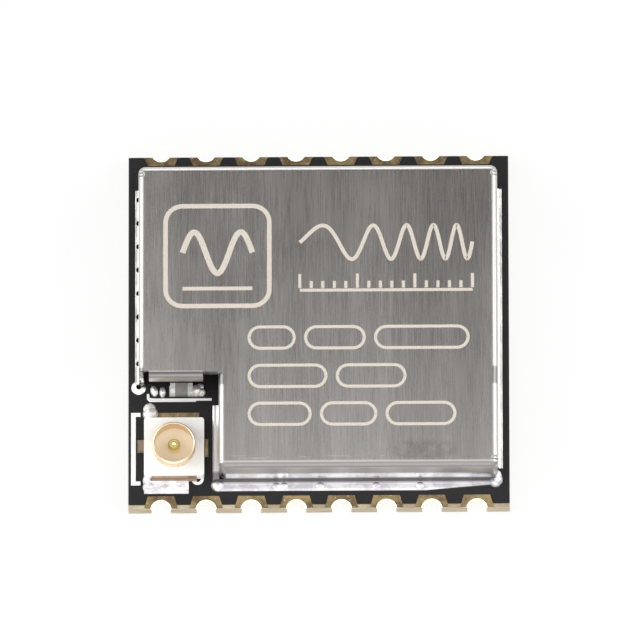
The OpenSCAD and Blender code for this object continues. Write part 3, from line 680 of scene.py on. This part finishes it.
@dataclass
class Strokes:
    """Flat raised strokes drawn in the roof's plane."""

    name: str
    floor: float
    height: float = 0.006
    mesh: bmesh.types.BMesh = field(default_factory=bmesh.new)

    def ribbon(self, path: Sequence[Point], width: float, closed: bool = False) -> None:
        """Adds a stroke of even width along a path.

        Args:
            path: Points in millimetres.
            width: The stroke's width.
            closed: Whether the last point joins the first.
        """
        count = len(path)
        sides: list[tuple[bmesh.types.BMVert, ...]] = []
        for i, (x, y) in enumerate(path):
            before = path[i - 1] if closed or i else path[0]
            after = path[(i + 1) % count] if closed or i < count - 1 else path[-1]
            run = Vector((after[0] - before[0], after[1] - before[1]))
            across = Vector((-run.y, run.x)).normalized() * width / 2
            sides.append(self._column(x + across.x, y + across.y) + self._column(x - across.x, y - across.y))
        for i in range(count if closed else count - 1):
            a, b = sides[i], sides[(i + 1) % count]
            self._face(a[1], a[3], b[3], b[1])
            self._face(b[0], b[2], a[2], a[0])
            self._face(a[0], a[1], b[1], b[0])
            self._face(b[2], b[3], a[3], a[2])
        if not closed:
            first, last = sides[0], sides[-1]
            self._face(first[0], first[2], first[3], first[1])
            self._face(last[1], last[3], last[2], last[0])

    def disc(self, centre: Point, radius: float, count: int = 28) -> None:
        """Adds a filled dot."""
        columns = [
            self._column(
                centre[0] + radius * math.cos(2 * math.pi * i / count),
                centre[1] + radius * math.sin(2 * math.pi * i / count),
            )
            for i in range(count)
        ]
        self.mesh.faces.new([c[1] for c in columns])
        self.mesh.faces.new([c[0] for c in reversed(columns)])
        for i, column in enumerate(columns):
            after = columns[(i + 1) % count]
            self._face(column[0], after[0], after[1], column[1])

    def pill(self, x0: float, y0: float, x1: float, y1: float, width: float) -> None:
        """Adds the outline of a lying round-ended box."""
        radius = (y1 - y0) / 2
        self.ribbon(round_box(x0, y0, x1, y1, radius), width, closed=True)

    def _column(self, x: float, y: float) -> tuple[bmesh.types.BMVert, bmesh.types.BMVert]:
        """Adds the low and high vertex at one point."""
        return (
            self.mesh.verts.new((x * MM, y * MM, self.floor * MM)),
            self.mesh.verts.new((x * MM, y * MM, (self.floor + self.height) * MM)),
        )

    def _face(self, *corners: bmesh.types.BMVert) -> None:
        """Adds one face."""
        self.mesh.faces.new(corners)

    def done(self, finishes: Finishes, surface: Surface) -> bpy.types.Object:
        """Turns the strokes into a dressed piece of the module.

        Args:
            finishes: The finishes.
            surface: The finish of the strokes.

        Returns:
            The new object.
        """
        bmesh.ops.recalc_face_normals(self.mesh, faces=self.mesh.faces)
        data = bpy.data.meshes.new(self.name)
        self.mesh.to_mesh(data)
        self.mesh.free()
        obj = bpy.data.objects.new(self.name, data)
        bpy.context.scene.collection.objects.link(obj)
        finishes.dress(obj, surface)
        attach(obj, "root")
        return obj


def round_box(
    x0: float, y0: float, x1: float, y1: float, radius: float, steps: int = 10
) -> list[Point]:
    """Returns the outline of a box with round corners, anticlockwise."""
    corners = ((x1, y1, 0), (x0, y1, 90), (x0, y0, 180), (x1, y0, 270))
    points: list[Point] = []
    for x, y, start in corners:
        cx = x - radius if x == x1 else x + radius
        cy = y - radius if y == y1 else y + radius
        for i in range(steps + 1):
            turn = math.radians(start + 90 * i / steps)
            points.append((cx + radius * math.cos(turn), cy + radius * math.sin(turn)))
    return points


# ---------------------------------------------------------------- sub-assemblies


@dataclass
class SubAssembly:
    """Solids of the frame that share a job, and the finish of each."""

    name: str
    finishes_of: dict[str, Surface]

    def dress(self, finishes: Finishes) -> None:
        """Gives each solid its finish.

        Args:
            finishes: The finishes to take from.
        """
        for node, surface in self.finishes_of.items():
            finishes.dress(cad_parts[node], surface)
            LOG.info("%s: %s in %s", self.name, node, surface.name.lower())


class CircuitBoard(SubAssembly):
    """Laminate, masks, pads, lands and legend."""

    def __init__(self) -> None:
        """Lists the board's solids."""
        lands = ("transceiver_lands", "crystal_lands", "switch_lands",
                 "passive_lands")
        pads = ("castellations_back", "castellations_front")
        super().__init__(
            "circuit board",
            {
                "circuit_board": Surface.LAMINATE,
                "solder_mask_top": Surface.MASK,
                "solder_mask_bottom": Surface.MASK,
                "legend_ink": Surface.INK,
                "shield_land": Surface.LAND,
                "match_lands": Surface.LAND,
                **{node: Surface.PADS for node in (*pads, *lands)},
                "receptacle_lands": Surface.PADS_BY_HOUSING,
            },
        )


class Receptacle(SubAssembly):
    """The miniature coaxial receptacle and its solder."""

    def __init__(self) -> None:
        """Lists the receptacle's solids."""
        super().__init__(
            "receptacle",
            {
                "receptacle_housing": Surface.HOUSING,
                "receptacle_shell": Surface.CONTACT,
                "receptacle_contact": Surface.PIN,
                "receptacle_solder": Surface.GRAINY,
            },
        )


class MatchingParts(SubAssembly):
    """The parts between the receptacle and the can."""

    def __init__(self) -> None:
        """Lists the matching parts' solids."""
        super().__init__(
            "matching parts",
            {
                "match_capacitor_body": Surface.GREY,
                "match_capacitor_terminals": Surface.GRAINY,
                "match_solder": Surface.GRAINY,
            },
        )


class HiddenParts(SubAssembly):
    """Everything under the can."""

    def __init__(self) -> None:
        """Lists the solids under the can."""
        super().__init__(
            "parts under the can",
            {
                "transceiver_body": Surface.EPOXY,
                "transceiver_leads": Surface.TIN,
                "transceiver_solder": Surface.SOLDER,
                "crystal_base": Surface.BASE,
                "crystal_lid": Surface.TIN,
                "crystal_solder": Surface.SOLDER,
                "switch_body": Surface.EPOXY,
                "switch_leads": Surface.TIN,
                "switch_solder": Surface.SOLDER,
                "capacitor_bodies": Surface.BROWN,
                "inductor_bodies": Surface.BLUE,
                "resistor_bodies": Surface.BLACK,
                "passive_terminals": Surface.TIN,
                "passive_solder": Surface.SOLDER,
            },
        )


@dataclass
class EtchedMarks:
    """Generic marks frosted into the can's roof: a framed wave, a chirp and blank fields."""

    stroke: float = 0.17
    frame_centre: Point = (-4.45, 2.85)
    frame_half: float = 2.3
    chirp_from: float = -0.8
    chirp_to: float = 6.85
    chirp_y: float = 3.45
    chirp_height: float = 0.78
    field_left: float = -3.05
    field_rows: tuple[float, ...] = (-0.92, -2.68, -4.42)
    field_height: float = 0.98

    def build(self, finishes: Finishes) -> None:
        """Draws every mark on the roof.

        Args:
            finishes: The finishes to take from.
        """
        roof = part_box("shield_can")[1][2] / MM
        for name, draw in self._marks().items():
            strokes = Strokes(name, roof)
            draw(strokes)
            strokes.done(finishes, Surface.ETCH)
            LOG.info("etched marks: %s", name)

    def _marks(self) -> dict[str, Callable[[Strokes], None]]:
        """Names each mark and the method that draws it."""
        return {
            "etched_frame": self._frame,
            "etched_wave": self._wave,
            "etched_chirp": self._chirp,
            "etched_scale": self._scale,
            "etched_fields": self._fields,
        }

    def _frame(self, strokes: Strokes) -> None:
        """Draws the round-cornered frame."""
        (x, y), half = self.frame_centre, self.frame_half
        outline = round_box(x - half, y - half, x + half, y + half, 0.75)
        strokes.ribbon(outline, self.stroke * 1.2, closed=True)

    def _wave(self, strokes: Strokes) -> None:
        """Draws one and a half turns of a sine wave over a base line."""
        x, y = self.frame_centre
        reach = 1.55
        path = [
            (x - reach + 2 * reach * i / 96, y + 0.15 + 0.95 * math.sin(3 * math.pi * i / 96))
            for i in range(97)
        ]
        strokes.ribbon(path, self.stroke * 1.5)
        strokes.ribbon([(x - reach, y - 1.5), (x + reach, y - 1.5)], self.stroke)

    def _chirp(self, strokes: Strokes) -> None:
        """Draws a wave whose turns crowd together towards the right."""
        span = self.chirp_to - self.chirp_from
        path = []
        for i in range(601):
            t = i / 600
            phase = 2 * math.pi * (1.4 * t + 3.6 * t * t)
            path.append((self.chirp_from + span * t, self.chirp_y + self.chirp_height * math.sin(phase)))
        strokes.ribbon(path, self.stroke)

    def _scale(self, strokes: Strokes) -> None:
        """Draws a base line with even ticks under the chirp."""
        y = self.chirp_y - 2.2
        strokes.ribbon([(self.chirp_from, y), (self.chirp_to, y)], self.stroke * 0.8)
        for i in range(16):
            x = self.chirp_from + (self.chirp_to - self.chirp_from) * i / 15
            tall = 0.75 if i % 5 == 0 else 0.42
            strokes.ribbon([(x, y + 0.1), (x, y + tall)], self.stroke * 0.8)

    def _fields(self, strokes: Strokes) -> None:
        """Draws three rows of blank round-ended fields."""
        layout = ((0.0, 2.0), (2.5, 5.1), (5.6, 9.7)), ((0.0, 3.4), (3.9, 6.9)), ((0.0, 2.7), (3.2, 5.6), (6.1, 9.1))
        for y, row in zip(self.field_rows, layout):
            for start, end in row:
                strokes.pill(
                    self.field_left + start,
                    y - self.field_height / 2,
                    self.field_left + end,
                    y + self.field_height / 2,
                    self.stroke * 0.8,
                )


@dataclass
class CornerPatches:
    """Sheet that closes the can's open corners."""

    fold_radius: float = 0.3
    fold_inner: float = 0.1
    step_x: float = -4.41
    gap: float = 0.2
    steps: int = 10

    def build(self, finishes: Finishes) -> None:
        """Builds the closed corners and the fold ends.

        Args:
            finishes: The finishes to take from.
        """
        low, high = ([v / MM for v in corner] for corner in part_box("shield_can"))
        radius = self.fold_radius
        for name, x, y, side, end in (
            ("corner_at_step", self.step_x + radius, low[1] + radius, -1, -1),
            ("corner_front_right", high[0] - radius, low[1] + radius, 1, -1),
            ("corner_back_left", low[0] + radius, high[1] - radius, -1, 1),
            ("corner_back_right", high[0] - radius, high[1] - radius, 1, 1),
        ):
            turns = [math.pi / 2 * i / self.steps for i in range(self.steps + 1)]
            self._solid(
                name,
                [
                    [
                        (x + side * r * math.cos(turn), y + end * r * math.sin(turn), z)
                        for r, z in self._section(low[2], high[2])
                    ]
                    for turn in turns
                ],
                finishes,
            )
        wall_end = self.gap + radius
        for name, side, y in (
            ("fold_end_left", -1, high[1] - wall_end),
            ("fold_end_right", 1, high[1] - wall_end),
            ("fold_end_front", 1, low[1] + wall_end - self.gap),
        ):
            face = low[0] if side < 0 else high[0]
            self._solid(
                name,
                [
                    [
                        (face - side * radius + side * r, y + shift, z)
                        for r, z in self._section(low[2], high[2])
                    ]
                    for shift in (0.0, self.gap)
                ],
                finishes,
            )

    def _section(self, foot: float, top: float) -> list[tuple[float, float]]:
        """Returns the fold's section as distance from its axis and height."""
        arc = [math.pi / 2 * i / self.steps for i in range(self.steps + 1)]
        centre = top - self.fold_radius
        outer = [
            (self.fold_radius * math.cos(a), centre + self.fold_radius * math.sin(a)) for a in arc
        ]
        inner = [
            (self.fold_inner * math.cos(a), centre + self.fold_inner * math.sin(a)) for a in arc
        ]
        return [
            (self.fold_radius, foot + 0.02),
            *outer,
            *reversed(inner),
            (self.fold_inner, foot + 0.02),
        ]

    def _solid(
        self, name: str, rings: list[list[tuple[float, float, float]]], finishes: Finishes
    ) -> None:
        """Skins a row of equal closed rings and caps both ends."""
        mesh = bmesh.new()
        rows = [[mesh.verts.new(Vector(point) * MM) for point in ring] for ring in rings]
        for a, b in zip(rows, rows[1:]):
            for i in range(len(a)):
                j = (i + 1) % len(a)
                mesh.faces.new((a[i], a[j], b[j], b[i]))
        mesh.faces.new(rows[0])
        mesh.faces.new(list(reversed(rows[-1])))
        bmesh.ops.recalc_face_normals(mesh, faces=mesh.faces)
        data = bpy.data.meshes.new(name)
        mesh.to_mesh(data)
        mesh.free()
        data.polygons.foreach_set("use_smooth", [len(f.vertices) == 4 for f in data.polygons])
        obj = bpy.data.objects.new(name, data)
        bpy.context.scene.collection.objects.link(obj)
        finishes.dress(obj, Surface.SHEET)
        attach(obj, "root")
        LOG.info("corner patches: %s", name)


@dataclass
class SolderLumps:
    """Frozen lumps of solder at the can's front corner and by the receptacle."""

    lumps: tuple[tuple[float, float, float, float, float, float], ...] = (
        (7.93, -6.70, 0.80, 0.17, 0.24, 0.62),
        (7.93, -6.88, 0.80, 0.21, 0.22, 0.5),
        (7.82, -7.02, 0.80, 0.22, 0.17, 0.26),
        (-7.62, -6.82, 0.83, 0.19, 0.24, 0.34),
        (-7.50, -7.12, 0.83, 0.21, 0.16, 0.26),
    )

    def build(self, finishes: Finishes) -> None:
        """Builds the lumps as half ellipsoids.

        Args:
            finishes: The finishes to take from.
        """
        mesh = bmesh.new()
        for x, y, z, rx, ry, rz in self.lumps:
            made = bmesh.ops.create_uvsphere(mesh, u_segments=28, v_segments=16, radius=1.0)
            for vert in made["verts"]:
                co = vert.co
                vert.co = Vector((x + rx * co.x, y + ry * co.y, z + rz * max(co.z, 0.0))) * MM
        bmesh.ops.remove_doubles(mesh, verts=mesh.verts, dist=1e-7)
        data = bpy.data.meshes.new("corner_solder")
        mesh.to_mesh(data)
        mesh.free()
        data.polygons.foreach_set("use_smooth", [True] * len(data.polygons))
        obj = bpy.data.objects.new("corner_solder", data)
        bpy.context.scene.collection.objects.link(obj)
        finishes.dress(obj, Surface.GRAINY)
        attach(obj, "root")
        LOG.info("solder lumps: corner_solder")


class ShieldCan(SubAssembly):
    """The folded can, its solder joint and its marks."""

    def __init__(self) -> None:
        """Lists the can's solids."""
        super().__init__(
            "shield can",
            {"shield_can": Surface.SHEET, "shield_solder": Surface.SOLDER},
        )
        self.extras = (EtchedMarks(), CornerPatches(), SolderLumps())

    def dress(self, finishes: Finishes) -> None:
        """Gives the can its finish, marks and closed corners.

        Args:
            finishes: The finishes to take from.
        """
        super().dress(finishes)
        for extra in self.extras:
            extra.build(finishes)


# ---------------------------------------------------------------- studio


@dataclass
class Studio:
    """Floor, lamps, world and camera."""

    floor_radius: float = 1000.0
    sweep_radius: float = 260.0
    sweep_top: float = 700.0
    world_level: float = 0.2
    tilt: float = 15.7
    turn: float = 2.72
    roll: float = 2.93
    distance: float = 800.0
    frame_width: float = 28.43
    aim: tuple[float, float, float] = (0.06, 0.55, 0.8)

    def build(self, finishes: Finishes) -> None:
        """Builds the whole studio.

        Args:
            finishes: The finishes to take from.
        """
        self._floor(finishes)
        self._world()
        self._lamp("overhead_panel", (0.0, -84.0, 90.0), (0.0, -84.0, 0.0), (260.0, 200.0), 0.99)
        self._lamp("left_panel", (-450.0, 30.0, 230.0), (0.0, 0.0, 0.0), (400.0, 360.0), 3.0)
        self._lamp("right_panel", (450.0, 30.0, 230.0), (0.0, 0.0, 0.0), (400.0, 360.0), 3.0)
        self._lamp("front_panel", (0.0, -450.0, 130.0), (0.0, 0.0, 0.0), (700.0, 320.0), 0.95)
        self._lamp("back_panel", (0.0, 500.0, 240.0), (0.0, 0.0, 0.0), (500.0, 200.0), 3.0)
        self._camera()

    def _floor(self, finishes: Finishes) -> None:
        """Lays the floor under the pads, with its edge swept up all round."""
        turns = [math.radians(6.0 * i) for i in range(16)]
        section = [(100.0, 0.0)]
        section += [
            (
                self.floor_radius + self.sweep_radius * math.sin(turn),
                self.sweep_radius * (1 - math.cos(turn)),
            )
            for turn in turns
        ]
        section.append((section[-1][0], self.sweep_top))
        mesh = bmesh.new()
        rings = [
            [
                mesh.verts.new(
                    (r * MM * math.cos(a), r * MM * math.sin(a), z * MM)
                )
                for a in (math.radians(3.75 * i) for i in range(96))
            ]
            for r, z in section
        ]
        mesh.faces.new(rings[0])
        for low, high in zip(rings, rings[1:]):
            for i in range(96):
                j = (i + 1) % 96
                mesh.faces.new((low[i], high[i], high[j], low[j]))
        data = bpy.data.meshes.new("floor")
        mesh.to_mesh(data)
        mesh.free()
        data.polygons.foreach_set("use_smooth", [True] * len(data.polygons))
        floor = bpy.data.objects.new("floor", data)
        floor.location.z = -0.00002
        bpy.context.scene.collection.objects.link(floor)
        finishes.dress(floor, Surface.FLOOR)

    def _world(self) -> None:
        """Sets a pale even world, white where the camera looks past the floor."""
        world = bpy.data.worlds.new("studio")
        world.use_nodes = True
        bpy.context.scene.world = world
        tree = world.node_tree
        background = tree.nodes["Background"]
        background.inputs["Color"].default_value = (1, 1, 1, 1)
        level = tree.nodes.new("ShaderNodeMath")
        level.operation = "MULTIPLY_ADD"
        level.inputs[1].default_value = 1.0 - self.world_level
        level.inputs[2].default_value = self.world_level
        rays = tree.nodes.new("ShaderNodeLightPath")
        tree.links.new(rays.outputs["Is Camera Ray"], level.inputs[0])
        tree.links.new(level.outputs[0], background.inputs["Strength"])

    def _lamp(
        self,
        name: str,
        spot: tuple[float, float, float],
        target: tuple[float, float, float],
        size: tuple[float, float],
        radiance: float,
    ) -> None:
        """Adds a flat lamp that evens out to one brightness over its face.

        Args:
            name: The lamp's name.
            spot: Its place in millimetres.
            target: The point that it faces.
            size: Its width and height in millimetres.
            radiance: Its brightness, where a white card in the frame has 1.
        """
        data = bpy.data.lights.new(name, "AREA")
        data.shape = "RECTANGLE"
        data.size, data.size_y = size[0] * MM, size[1] * MM
        data.energy = radiance * math.pi * data.size * data.size_y
        lamp = bpy.data.objects.new(name, data)
        lamp.location = Vector(spot) * MM
        facing = (Vector(target) - Vector(spot)).to_track_quat("-Z", "Y")
        lamp.rotation_euler = facing.to_euler()
        lamp.visible_camera = False
        bpy.context.scene.collection.objects.link(lamp)

    def _camera(self) -> None:
        """Aims a long lens at the board, tilted towards its front edge."""
        data = bpy.data.cameras.new("camera")
        data.sensor_width = 36.0
        data.lens = 36.0 * self.distance / self.frame_width
        data.clip_start = 0.05
        data.clip_end = 10.0
        tilt, turn = math.radians(self.tilt), math.radians(self.turn)
        away = Vector(
            (math.sin(turn) * math.sin(tilt), -math.cos(turn) * math.sin(tilt), math.cos(tilt))
        )
        camera = bpy.data.objects.new("camera", data)
        camera.location = (Vector(self.aim) + away * self.distance) * MM
        upright = (Matrix.Rotation(turn, 4, "Z") @ Matrix.Rotation(tilt, 4, "X")).to_quaternion()
        twist = Quaternion(away, -math.radians(self.roll))
        camera.rotation_euler = (twist @ upright).to_euler()
        bpy.context.scene.collection.objects.link(camera)
        bpy.context.scene.camera = camera


def main() -> None:
    """Builds and dresses the module, then the studio."""
    logging.basicConfig(level=logging.INFO, format="%(name)s %(message)s")
    bpy.context.scene.view_settings.view_transform = "Standard"
    finishes = Finishes()
    parts: Iterable[SubAssembly] = (
        CircuitBoard(), ShieldCan(), Receptacle(), MatchingParts(), HiddenParts()
    )
    for part in parts:
        part.dress(finishes)
    Studio().build(finishes)


if __name__ == "__main__":
    main()
